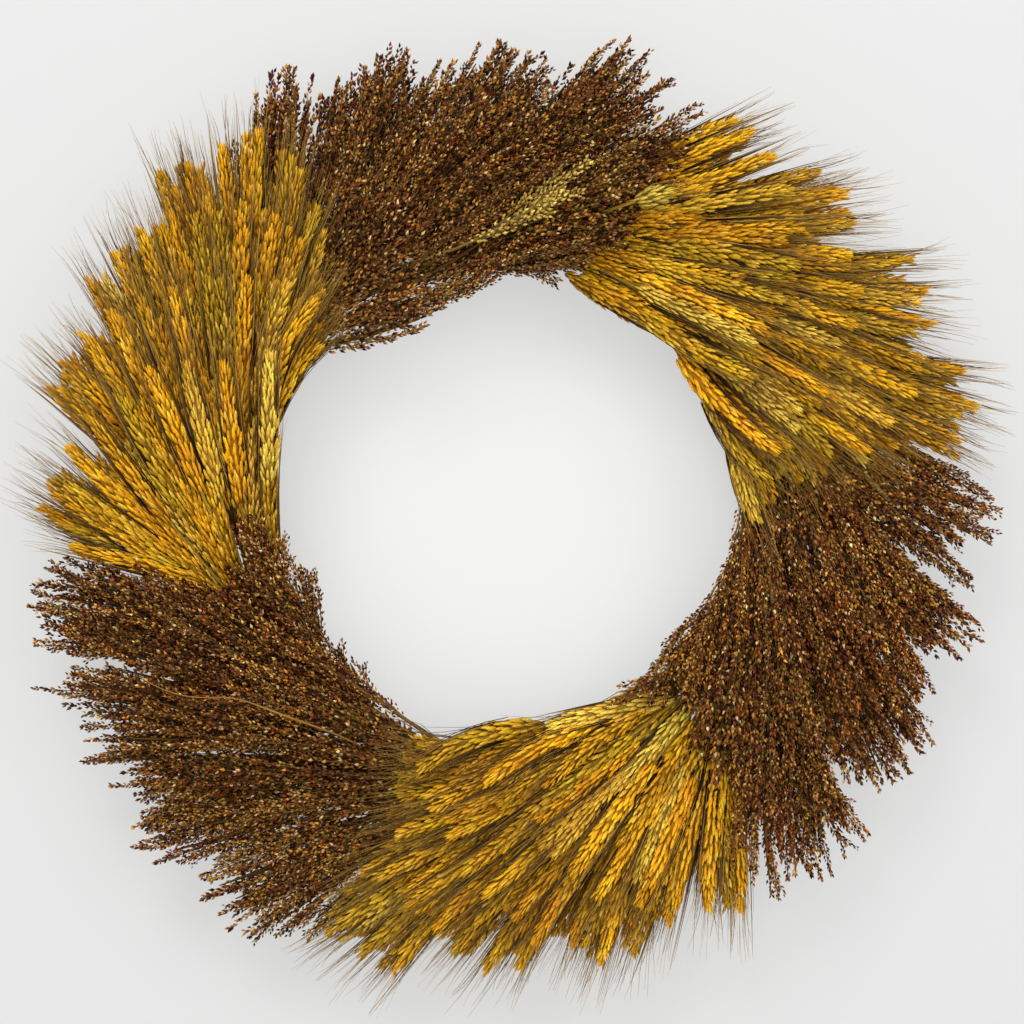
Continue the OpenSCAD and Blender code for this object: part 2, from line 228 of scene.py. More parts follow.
class Piece:
    """Collects closed grains and tubes with their colours and one atlas cell each, then makes one mesh."""

    def __init__(self):
        self.v, self.col, self.grain, self.faces, self.uv = [], [], [], [], []
        self.nv, self.cells = 0, 0

    def _faces(self, pattern, uvp, n, nvert):
        base = self.nv + np.arange(n)[:, None, None] * nvert
        self.faces.append((pattern[None] + base).reshape(-1, pattern.shape[1]))
        cell = np.repeat(self.cells + np.arange(n), len(pattern))
        self.uv.append((np.broadcast_to(uvp[None], (n,) + uvp.shape).reshape(-1, uvp.shape[1], 2), cell))

    def grains(self, tpl, origin, along, out, size, col, tipcol=None, rough=None):
        """origin, along, out: (N,3); size: (N,3) width, thickness, length; col: (N,3)."""
        n = len(origin)
        if n == 0:
            return
        z = unit(along)
        y = unit(out - z * np.sum(out * z, 1, keepdims=True))
        x = np.cross(y, z)
        tv = tpl["v"]
        p = (origin[:, None] + tv[None, :, 0, None] * (x * size[:, :1])[:, None]
             + tv[None, :, 1, None] * (y * size[:, 1:2])[:, None] + tv[None, :, 2, None] * (z * size[:, 2:])[:, None])
        t = tpl["t"][None, :, None]
        tip = col if tipcol is None else tipcol
        c = col[:, None] * (1 - t) + tip[:, None] * t
        r = np.zeros(n) if rough is None else rough
        g = np.stack([np.broadcast_to(tpl["a"][None], (n, len(tv))), np.broadcast_to(tpl["t"][None], (n, len(tv))),
                      np.broadcast_to(r[:, None], (n, len(tv)))], -1)
        for pat, uvp in zip(tpl["f"], tpl["uv"]):
            self._faces(pat, uvp, n, len(tv))
        self.v.append(p.reshape(-1, 3)); self.col.append(c.reshape(-1, 3)); self.grain.append(g.reshape(-1, 3))
        self.nv += n * len(tv); self.cells += n

    def tubes(self, path, rad, sides, col, tipcol=None, kind=0.5, late=1.0):
        """path: (N,S,3); rad: (N,S); closed at both ends."""
        n, s = path.shape[:2]
        if n == 0:
            return
        d = unit(path[:, -1] - path[:, 0])
        ref = np.where(np.abs(d[:, 1:2]) < 0.8, np.array([[0, 1.0, 0]]), np.array([[1.0, 0, 0]]))
        n1 = unit(np.cross(d, ref)); n2 = np.cross(d, n1)
        a = np.arange(sides) * 2 * np.pi / sides
        ringv = (path[:, :, None] + rad[:, :, None, None] * (np.cos(a)[None, None, :, None] * n1[:, None, None]
                 + np.sin(a)[None, None, :, None] * n2[:, None, None]))
        nv = s * sides + 2
        p = np.concatenate([ringv.reshape(n, s * sides, 3), path[:, :1], path[:, -1:]], 1)
        q, quv = [], []
        for i in range(s - 1):
            for k in range(sides):
                k2 = (k + 1) % sides
                q.append([i * sides + k, i * sides + k2, (i + 1) * sides + k2, (i + 1) * sides + k])
                u0, u1, v0, v1 = k / sides, (k + 1) / sides, i / (s - 1), (i + 1) / (s - 1)
                quv.append([[u0, v0], [u1, v0], [u1, v1], [u0, v1]])
        t3, tuv = [], []
        for k in range(sides):
            k2 = (k + 1) % sides
            t3 += [[s * sides, k2, k], [s * sides + 1, (s - 1) * sides + k, (s - 1) * sides + k2]]
            tuv += [[[(k + .5) / sides, 0], [(k + 1) / sides, .02], [k / sides, .02]],
                    [[(k + .5) / sides, 1], [k / sides, .98], [(k + 1) / sides, .98]]]
        self._faces(np.array(q), np.array(quv), n, nv)
        self._faces(np.array(t3), np.array(tuv), n, nv)
        t = np.concatenate([np.repeat(np.linspace(0, 1, s), sides), [0, 1]])
        tip = col if tipcol is None else tipcol
        tc = (t ** late)[None, :, None]
        c = col[:, None] * (1 - tc) + tip[:, None] * tc
        ang = np.concatenate([np.tile(1 - np.abs(2 * np.arange(sides) / sides - 1), s), [0.5, 0.5]])
        g = np.stack([np.broadcast_to(ang, (n, nv)), np.broadcast_to(t, (n, nv)), np.full((n, nv), kind)], -1)
        self.v.append(p.reshape(-1, 3)); self.col.append(c.reshape(-1, 3)); self.grain.append(g.reshape(-1, 3))
        self.nv += n * nv; self.cells += n

    def make(self, name, material):
        v = np.concatenate(self.v) * MM
        me = bpy.data.meshes.new(name)
        me.vertices.add(len(v)); me.vertices.foreach_set("co", v.astype(np.float32).ravel())
        total = np.concatenate([np.full(len(f), f.shape[1]) for f in self.faces])
        loops = np.concatenate([f.ravel() for f in self.faces])
        g = int(math.ceil(math.sqrt(self.cells)))
        uvs = []
        for uv, cell in self.uv:
            o = np.stack([cell % g, cell // g], -1)[:, None]
            uvs.append(((o + 0.14 + 0.72 * uv) / g).reshape(-1, 2))
        me.loops.add(len(loops)); me.loops.foreach_set("vertex_index", loops.astype(np.int32))
        me.polygons.add(len(total))
        me.polygons.foreach_set("loop_start", np.concatenate([[0], np.cumsum(total)[:-1]]).astype(np.int32))
        me.polygons.foreach_set("loop_total", total.astype(np.int32))
        me.polygons.foreach_set("use_smooth", np.ones(len(total), dtype=bool))
        me.update(calc_edges=True)
        me.validate()
        lay = me.uv_layers.new(name="OFBake")
        lay.data.foreach_set("uv", np.concatenate(uvs).astype(np.float32).ravel())
        ca = me.attributes.new("plant_color", "FLOAT_COLOR", "POINT")
        ca.data.foreach_set("color", np.concatenate([np.concatenate(self.col), np.ones((self.nv, 1))], 1)
                            .clip(0, 1).astype(np.float32).ravel())
        ga = me.attributes.new("grain", "FLOAT_VECTOR", "POINT")
        ga.data.foreach_set("vector", np.concatenate(self.grain).astype(np.float32).ravel())
        me.materials.append(material)
        ob = bpy.data.objects.new(name, me)
        bpy.context.scene.collection.objects.link(ob)
        print(name, "triangles", int((total - 2).sum()), flush=True)
        return ob


def lathe_template(rings, sides, curve=0.0, keel=0.0):
    """A closed pointed grain: rings are (t, radius); width and thickness are scaled by the grain's size, z runs 0 to 1."""
    v, t, a = [[0, 0, 0]], [0.0], [0.5]
    for tt, r in rings:
        for k in range(sides):
            an = 2 * math.pi * k / sides
            x, y = 0.5 * r * math.cos(an), 0.5 * r * math.sin(an)
            if keel and y > 0:
                y *= 1 + keel * (1 - abs(math.cos(an)))
            v.append([x, y + curve * math.sin(math.pi * tt), tt])
            t.append(tt); a.append(abs(2 * ((k / sides + 0.25) % 1.0) - 1))
    v.append([0, 0, 1.0]); t.append(1.0); a.append(0.5)
    last = len(v) - 1
    m = len(rings)
    tri, tuv, quad, quv = [], [], [], []
    for k in range(sides):
        k2 = (k + 1) % sides
        u0, um, u1 = k / sides, (k + .5) / sides, (k + 1) / sides
        tri.append([0, 1 + k2, 1 + k]); tuv.append([[um, 0], [u1, rings[0][0]], [u0, rings[0][0]]])
        tri.append([last, 1 + (m - 1) * sides + k, 1 + (m - 1) * sides + k2])
        tuv.append([[um, 1], [u0, rings[-1][0]], [u1, rings[-1][0]]])
        for i in range(m - 1):
            quad.append([1 + i * sides + k, 1 + i * sides + k2, 1 + (i + 1) * sides + k2, 1 + (i + 1) * sides + k])
            quv.append([[u0, rings[i][0]], [u1, rings[i][0]], [u1, rings[i + 1][0]], [u0, rings[i + 1][0]]])
    parts = [(f, uv) for f, uv in ((tri, tuv), (quad, quv)) if f]
    return {"v": np.array(v), "t": np.array(t), "a": np.array(a),
            "f": [np.array(f) for f, _ in parts], "uv": [np.array(uv) for _, uv in parts]}


HUSK = lathe_template([(0.12, 0.60), (0.42, 1.0), (0.78, 0.62)], 6, curve=0.16, keel=0.25)
HUSK_PLAIN = lathe_template([(0.22, 0.84), (0.66, 0.86)], 5, curve=0.16, keel=0.2)
SEED = lathe_template([(0.42, 1.0)], 5, curve=0.06)
CHAFF = lathe_template([(0.40, 1.0)], 4)
CHAFF_LOW = lathe_template([(0.40, 1.0)], 3)

# ---------------------------------------------------------------- wheat

GOLD, ORANGE, OLIVE, PALE_STRAW_AND_HIGHLIGHT = lin("#e6a615"), lin("#e6a012"), lin("#bb931a"), lin("#f2c84e")
HUSK_BROWN_AND_SHADE, AWN_STRAW, AWN_GOLD, AWN_SHADE, STRAW = lin("#5e3506"), lin("#b88e42"), lin("#c99a2c"), lin("#2a1405"), lin("#b08a2e")
UNRIPE = lin("#d4b848")


def wheat_ear(pc, rng, ln, ear, n_node, n_awn, plump, tint, awn_reach, tpl, tufts=1):
    """One bearded ear along the line's last stretch: overlapping husks in ten ranks, then awns from their tips."""
    e0 = ln.len - ear * (0.93 + 0.1 * rng.random())
    roll = rng.uniform(-0.5, 0.5)
    i = np.arange(n_node)
    s = e0 + (ln.len - 5 - e0) * (i / (n_node - 1)) ** 0.97
    side = np.where(i % 2 == 0, 0.0, math.pi)
    prof = np.interp(i / (n_node - 1), [0, 0.10, 0.28, 0.62, 0.86, 1.0], [0.62, 0.90, 1.0, 0.92, 0.66, 0.36])
    S, A, K, P, T = [], [], [], [], []
    for off, tilt, big, lead in ((0.0, 18, 1.0, 1.2), (0.62, 15, 1.0, 0.0), (-0.62, 15, 1.0, 0.0), (1.24, 11, 0.95, -1.3), (-1.24, 11, 0.95, -1.3)):
        S.append(s + lead); A.append(side + off + roll); T.append(np.full(n_node, tilt)); K.append(np.full(n_node, big)); P.append(prof)
    S, A, T, K, P = map(np.concatenate, (S, A, T, K, P))
    n = len(S)
    A = A + rng.normal(0, 0.15, n); T = T + rng.normal(0, 3.0, n)
    S = S + rng.normal(0, 0.9, n)
    tan = ln.tangent(S)
    f = unit(ln.f[None] - tan * (tan @ ln.f)[:, None]); w = np.cross(f, tan)
    rad = np.cos(A)[:, None] * w + np.sin(A)[:, None] * f
    tr = np.radians(T * (0.55 + 0.45 * P))
    along = tan * np.cos(tr)[:, None] + rad * np.sin(tr)[:, None]
    org = ln.at(S - 1.5) + rad * (3.15 * P * plump)[:, None]
    L = 9.2 * K * (0.74 + 0.28 * P) * rng.uniform(0.82, 1.18, n)
    size = np.stack([2.2 * K * (0.4 + 0.6 * P) * plump * rng.uniform(0.8, 1.15, n), 1.85 * K * (0.4 + 0.6 * P) * plump, L], 1)
    # painted light: husks that face the front are painted about a third brighter than those at the flanks; the random
    # factor is their own tone
    v = (rng.normal(1.0, 0.12, n).clip(0.6, 1.4) * (0.78 + 0.28 * np.sin(A).clip(0, 1)))[:, None]
    mixo = rng.random(n)[:, None] ** 3
    col = tint[None] * v * (1 - 0.45 * mixo) + HUSK_BROWN_AND_SHADE * 0.45 * mixo
    # painted highlight: about one husk in nine is mixed half towards pale straw
    pale = (rng.random(n) < 0.11)[:, None]
    col = np.where(pale, col * 0.5 + PALE_STRAW_AND_HIGHLIGHT * 0.55, col)
    # painted shade and painted highlight: each husk darkens towards its base, where it tucks under its neighbours, and
    # brightens towards its tip; the dark brown mixed into a random few husks above is their own tone
    pc.grains(tpl, org, along, rad, size, col * 0.56 + HUSK_BROWN_AND_SHADE * 0.05, col * 1.34, np.full(n, 0.0))
    # the core that carries the husks, its colour painted dark as shade among them
    u = np.linspace(0, 1, 7)
    cr = np.interp(u, [0, 0.1, 0.3, 0.65, 1.0], [1.2, 2.6, 3.1, 2.7, 0.5]) * plump
    pc.tubes(ln.at(e0 - 2 + (ln.len - 3 - e0) * u)[None], cr[None], 7, (tint * 0.34 + HUSK_BROWN_AND_SHADE * 0.3)[None], (tint * 0.40 + HUSK_BROWN_AND_SHADE * 0.25)[None], kind=0.4)
    # the tip spikelet, painted darker at its base as shade and brighter at its tip as highlight
    m = 3
    tt = ln.tangent(np.full(m, ln.len - 5)); ta = rng.uniform(0, 6.28, m)
    tr_ = np.cos(ta)[:, None] * ln.w + np.sin(ta)[:, None] * ln.f
    pc.grains(tpl, ln.at(np.full(m, ln.len - 7)), tt + tr_ * 0.12, tr_, np.tile([[1.9, 1.7, 8.0]], (m, 1)), np.tile(tint * 0.7, (m, 1)), np.tile(tint * 1.2, (m, 1)))
    # awns: a few from husk tips, thin and golden over the face; at the flanks their dark brown bases are painted shade
    # between the ears
    flank = np.abs(np.sin(A)) < 0.62
    for sel, share, lo, hi, thick, c0, c1 in ((flank, 0.6, 0.5, 3.5, 0.27, AWN_SHADE, AWN_STRAW), (~flank, 0.4, 0.5, 5.0, 0.22, AWN_GOLD, AWN_STRAW)):
        odds = sel * (0.25 + ((S - e0).clip(0) / (ln.len - e0)) ** 1.5)
        k = int(n_awn * share)
        pick = rng.choice(n, size=k, replace=False, p=odds / odds.sum())
        start = org[pick] + along[pick] * (L[pick] * 0.9)[:, None]
        length = np.minimum(np.maximum(ln.len + awn_reach * rng.uniform(0.15, 1.0, k) - S[pick] - 8, 18), 84)
        spread = np.radians(rng.uniform(lo, hi, k))
        d0 = unit(tan[pick] * np.cos(spread)[:, None] + rad[pick] * np.sin(spread)[:, None])
        curl = rng.normal(0, 1.0, (k, 3)) * 0.7
        u = np.linspace(0, 1, 5)
        path = start[:, None] + d0[:, None] * (length[:, None] * u)[..., None] + curl[:, None] * (u ** 2 * 3.0)[None, :, None] \
            - rad[pick][:, None] * (length[:, None] * 0.04 * (u * (1 - u)) * 4)[..., None]
        r = np.interp(u, [0, 0.5, 1], [1.0, 0.75, 0.26])[None] * thick * rng.uniform(0.8, 1.2, (k, 1))
        vv = rng.uniform(0.6, 1.4, (k, 1))
        pc.tubes(hold(path), r, 3, c0[None] * vv, c1[None] * (0.5 + 0.5 * vv), kind=1.0, late=1.6)
    # and tight bundles that run down the furrow at each side of the ear, most painted dark brown as shade between the
    # ears
    for sd in (-1.0, 1.0)[:tufts] if tufts == 2 else (rng.choice([-1.0, 1.0]),):
        k = 7
        lat = sd * (4.8 * plump + rng.uniform(-0.3, 1.0)) + rng.normal(0, 0.85, k)
        fr = rng.uniform(2.4, 4.2) + rng.normal(0, 0.5, k)
        s0 = e0 + rng.uniform(-4, 22) + rng.uniform(0, 14, k)
        s1 = ln.len + awn_reach * rng.uniform(-0.6, 0.9, k)
        u = np.linspace(0, 1, 6)
        ss = s0[:, None] + (s1 - s0)[:, None] * u
        path = ln.at(ss) + (lat[:, None] * (0.92 + 0.16 * u))[..., None] * ln.w + (fr[:, None] * np.sin(0.35 + 2.3 * u))[..., None] * ln.f
        r = np.interp(u, [0, 0.5, 0.75, 1], [1.0, 0.9, 0.62, 0.22])[None] * 0.35 * rng.uniform(0.8, 1.2, (k, 1))
        c0 = np.where((rng.random(k) < 0.22)[:, None], AWN_STRAW, AWN_SHADE * rng.uniform(0.4, 1.3, (k, 1)))
        pc.tubes(path, r, 3, c0, np.tile(AWN_STRAW * 1.15, (k, 1)), kind=1.0, late=3.2)


def stem(pc, rng, ln, s0, s1, r, col, nseg=10):
    s = np.linspace(s0, s1, nseg)
    p = ln.at(s)
    rad = np.full(nseg, r) * (1 + 0.06 * np.sin(s * 0.31 + rng.uniform(0, 6)))
    pc.tubes(p[None], rad[None], 7, np.array([col]), np.array([col * 0.85]), kind=0.5)


def wheat_tint(rng, lo, hi):
    palette = [GOLD, ORANGE, OLIVE, PALE_STRAW_AND_HIGHLIGHT]
    a, b = rng.choice(4, 2, p=[0.50, 0.16, 0.26, 0.08])
    m = rng.uniform(0, 0.6)
    return (palette[a] * (1 - m) + palette[b] * m) * rng.uniform(lo, hi)


# painted light: the right and bottom wheat sections' colours are brightened, standing in for the stronger light on them
PAINTED_LIGHT_LIFT = {"wheat_left": 1.0, "wheat_right": 1.07, "wheat_bottom": 1.09}


def wheat_bunch(node, seed, past, bulge, extra):
    """past: how far the outermost ears of this bunch reach beyond the CAD ears, in mm; bulge: how far its edge bows into the hole; extra: (heading, length, ear length and, if it differs from its neighbours', forward tilt) of loose ears."""
    rng = np.random.default_rng(seed)
    pc = Piece()
    sec = node[:-8]
    st = stalks_of(node)
    st[0]["bow"] = -bulge
    if node == "wheat_right_bunch_1":
        turned_in(st, 32.0, 0.55)

    def fit(q, L, jitter):
        """Ends the ear at its section's end; returns the stalk's length and the ear's."""
        L = max(min(L, reach_to(sec, q) + rng.uniform(-jitter, 0.5 * jitter)), 46)
        return L, min(EAR * (0.84 if node == "wheat_right_bunch_1" and heading(q) > 8 else 1.0), L - 4)

    for i, q in enumerate(st + [aimed(st, *e[:2], *e[3:]) for e in extra]):
        out = min(max((heading(q) + 6) / 34, 0.0), 1.0)
        L, ear = (q["len"], extra[i - len(st)][2]) if i >= len(st) else fit(q, q["len"] - AWN_CONE + 3 + past * out, 6)
        ln = Line(q["foot"], q["dir"], L, rng.normal(0, 1.8), rng.normal(0.8, 1.2), rng.normal(0, 1.6), q.get("bow", 0.0))
        wheat_ear(pc, rng, ln, ear, round(33 * ear / EAR), 18, rng.uniform(1.08, 1.28), wheat_tint(rng, 1.05, 1.32) * PAINTED_LIGHT_LIFT[sec] if ear > 40 else UNRIPE, 33, HUSK, 2)
        stem(pc, rng, ln, -TAIL - rng.uniform(2, 16), max(L - ear + 6, 3), 1.05, STRAW * rng.uniform(0.7, 1.15))
    for q in between(st, 4.2, rng):
        out = min(max((heading(q) + 6) / 34, 0.0), 1.0)
        L, ear = fit(q, max(q["len"] - AWN_CONE + past * out - (rng.uniform(-5, 8) if rng.random() < 0.62 else rng.uniform(8, 40)), 90), 14)
        up = rng.choice([-1.0, 1.0], p=[0.75, 0.25]) * rng.uniform(3.0, 6.0)
        f, w = frame_of(q["dir"])
        ln = Line(q["foot"], unit(q["dir"] + f * up / L), L, rng.normal(0, 1.8), rng.normal(0, 1.2), rng.normal(0, 1.2), q["bow"])
        # painted shade: the fill ears' colour is painted darker than the main ears', as they lie deeper
        wheat_ear(pc, rng, ln, ear - 2, round(30 * ear / EAR), 9, rng.uniform(0.96, 1.14), wheat_tint(rng, 0.80, 1.12) * PAINTED_LIGHT_LIFT[sec], 28, HUSK_PLAIN, 1)
        stem(pc, rng, ln, -TAIL - rng.uniform(0, 12), max(L - ear + 8, 3), 0.95, STRAW * rng.uniform(0.6, 1.05), 6)
    if node.endswith("_1"):  # short ears that close the section at its start
        for q in between(st, 4.6 if sec == "wheat_right" else 6.4, rng):
            r = unit(np.array([q["foot"][0], 0.0, q["foot"][2]]))
            L, ear = fit(q, rng.uniform(84, 112), 6)
            f, w = frame_of(q["dir"])
            ln = Line(q["foot"] + r * float(np.interp(heading(q), [-23, 0], [-13, 0])), unit(q["dir"] - f * rng.uniform(0.5, 4.0) / L), L, rng.normal(0, 1.5), rng.normal(0, 1.0), rng.normal(0, 1.0), q["bow"] * 0.6)
            wheat_ear(pc, rng, ln, ear, round(30 * ear / EAR), 8, rng.uniform(0.98, 1.15), wheat_tint(rng, 0.90, 1.22) * PAINTED_LIGHT_LIFT[sec], 28, HUSK_PLAIN, 1)
    ob = pc.make(node + "_stalks", MAT_WHEAT)
    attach(ob, ROOT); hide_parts(node)
    return ob


# ---------------------------------------------------------------- broomcorn

UMBER, BROWN, MAROON, RUST, OLIVE_BROWN = lin("#351505"), lin("#79421a"), lin("#682b11"), lin("#924a1a"), lin("#815b28")
TAN, HIGHLIGHT_TAN, GREEN_TAN = lin("#c18737"), lin("#e6bc80"), lin("#bc9c48")
BRANCH, OLIVE_TAN = lin("#7c5c30"), lin("#8f702e")
GA = 2.399


def spikelets(rng, path, u, us, f_ref, off, tilt_lo, tilt_hi):
    """Origin, direction and outward side of spikelets at fractions us of a branch."""
    n = len(us)
    at = lambda t: np.stack([np.interp(t, u, path[:, k]) for k in range(3)], -1)
    pos = at(us)
    tn = unit(at(np.minimum(us + 0.03, 1.03)) - at(us - 0.03) + 1e-6)
    an = np.arange(n) * GA + rng.uniform(0, 6.28) + rng.normal(0, 0.35, n)
    ff = unit(f_ref[None] - tn * (tn @ f_ref)[:, None]); ww = np.cross(ff, tn)
    rr = np.cos(an)[:, None] * ww + np.sin(an)[:, None] * ff
    tilt = np.radians(rng.uniform(tilt_lo, tilt_hi, n))
    return pos + rr * off[:, None], tn * np.cos(tilt)[:, None] + rr * np.sin(tilt)[:, None], rr


def broom_panicle(pc, rng, ln, tint, tan_share, n_branch=7, gap=0.84, side=3, tpl=None, green=0.0, wide=1.0, head=PANICLE, big_seed=1.0):
    """One head: long branches that start low and lie close together, spikelets all along them, ragged tips."""
    tpl = SEED if tpl is None else tpl
    e0 = ln.len - head * rng.uniform(0.96, 1.02)
    O, AL, OU, SZ, C, E = [], [], [], [], [], []
    bp, ends = [], []
    for b in range(n_branch):
        s0 = e0 + head * (0.02 + 0.40 * b / n_branch) * rng.uniform(0.8, 1.15)
        s1 = ln.len + (rng.uniform(-26, 2) * head / PANICLE if b else 1.0)
        az = b * GA + rng.uniform(-0.5, 0.5)
        reach = 8.0 * math.sqrt((((b * 3) % n_branch) + rng.uniform(0.2, 0.8)) / n_branch) * wide
        m = 12
        u = np.linspace(0, 1, m)
        s = s0 + (s1 - s0) * u
        rd = math.cos(az) * ln.w * 1.15 + math.sin(az) * ln.f * 0.8
        flare = rng.uniform(-1.5, 3.0)
        wv = rng.normal(0, 0.9, 3)
        path = ln.at(s) + rd[None] * (reach * (1 - (1 - u) ** 2) + flare * u ** 3)[:, None] + wv[None] * np.sin(u * 3.1)[:, None]
        bp.append(path)
        ns = int((s1 - s0) / gap)
        us = 0.08 + 0.94 * (np.arange(ns) + rng.random(ns) * 0.8) / ns
        off = rng.uniform(0.3, 2.3, ns) * np.interp(us, [0, 0.5, 0.9, 1], [0.9, 1.1, 0.7, 0.15])
        o, al, rr = spikelets(rng, path, u, us, ln.f, off, 6, 44)
        O.append(o); AL.append(al); OU.append(rr)
        big = rng.uniform(0.75, 1.2, ns)
        SZ.append(np.stack([1.6 * big, 1.35 * big, 2.85 * big], 1) * (big_seed if tpl is SEED else 1.4)); C.append(np.full(ns, b)); E.append(us)
        for q in range(side):
            ub = rng.uniform(0.40, 0.94)
            i0 = min(int(ub * (m - 1)), m - 2)
            p0 = path[i0] + (path[i0 + 1] - path[i0]) * (ub * (m - 1) - i0)
            t0 = unit(path[i0 + 1] - path[i0])
            az2 = rng.uniform(0, 6.28)
            d2 = unit(t0 + (math.cos(az2) * ln.w + math.sin(az2) * ln.f * 0.8) * rng.uniform(0.20, 0.46))
            l2 = rng.uniform(8, 16)
            k2 = int(l2 / 1.2)
            p1 = p0 + d2 * l2
            seg = np.linspace(0, 1, 3)
            o, al, rr = spikelets(rng, p0 + (p1 - p0) * seg[:, None], seg, (np.arange(k2) + rng.random(k2) * 0.6) / k2, ln.f, rng.uniform(0.2, 1.0, k2), 8, 40)
            O.append(o); AL.append(al); OU.append(rr)
            big = rng.uniform(0.75, 1.1, k2)
            SZ.append(np.stack([1.6 * big, 1.35 * big, 2.95 * big], 1) * (big_seed if tpl is SEED else 1.4)); C.append(np.full(k2, b)); E.append(np.full(k2, ub))
            ends.append((p0, p1))
    O, AL, OU, SZ, C, E = map(np.concatenate, (O, AL, OU, SZ, C, E))
    n = len(O)
    tone = rng.normal(1.0, 0.20, n_branch).clip(0.55, 1.6)
    kind = rng.random(n)
    # painted highlight: the light tan on one seed in twenty stands for a glint
    base = np.where((kind < tan_share)[:, None], TAN, np.where((kind < tan_share + 0.05)[:, None], HIGHLIGHT_TAN,
           np.where((kind < tan_share + 0.20)[:, None], RUST, np.where((kind > 0.72)[:, None], UMBER, tint[None]))))
    if green:
        gr = (rng.random(n) < green)[:, None]
        base = np.where(gr, GREEN_TAN * rng.uniform(0.8, 1.5, (n, 1)), base)
    col = base * (tone[C] * rng.normal(1.0, 0.2, n).clip(0.5, 1.6))[:, None]
    # painted shade and painted highlight: each seed darkens towards its base and brightens towards its tip
    pc.grains(tpl, hold(O), AL, OU, SZ, col * 0.64, col * rng.uniform(0.95, 1.55, (n, 1)), np.full(n, 0.2))
    # a thin core set back behind the seeds, its colour painted dark as shade among them
    u = np.linspace(0, 1, 7)
    cr = np.interp(u, [0, 0.2, 0.6, 0.85, 1.0], [0.8, 1.3, 1.5, 0.9, 0.35])
    pc.tubes((ln.at(e0 + 8 + (ln.len - 18 - e0) * u) - ln.f * 1.8)[None], cr[None], 6, (tint * 0.40)[None], (tint * 0.55)[None], kind=0.4)
    bp = np.array(bp) if tpl is SEED else np.array(bp)[:, ::2]
    pc.tubes(hold(bp), np.interp(np.linspace(0, 1, bp.shape[1]), [0, 1], [0.5, 0.22])[None] * np.ones((len(bp), 1)), 4, np.tile(BRANCH, (len(bp), 1)), kind=0.6)
    if ends:
        p0 = np.array([a for a, _ in ends]); p1 = np.array([b for _, b in ends])
        u = np.linspace(0, 1, 3)[None, :, None]
        pc.tubes(hold(p0[:, None] * (1 - u) + p1[:, None] * u), np.tile([[0.3, 0.25, 0.15]], (len(p0), 1)), 3, np.tile(BRANCH, (len(p0), 1)), kind=0.6)


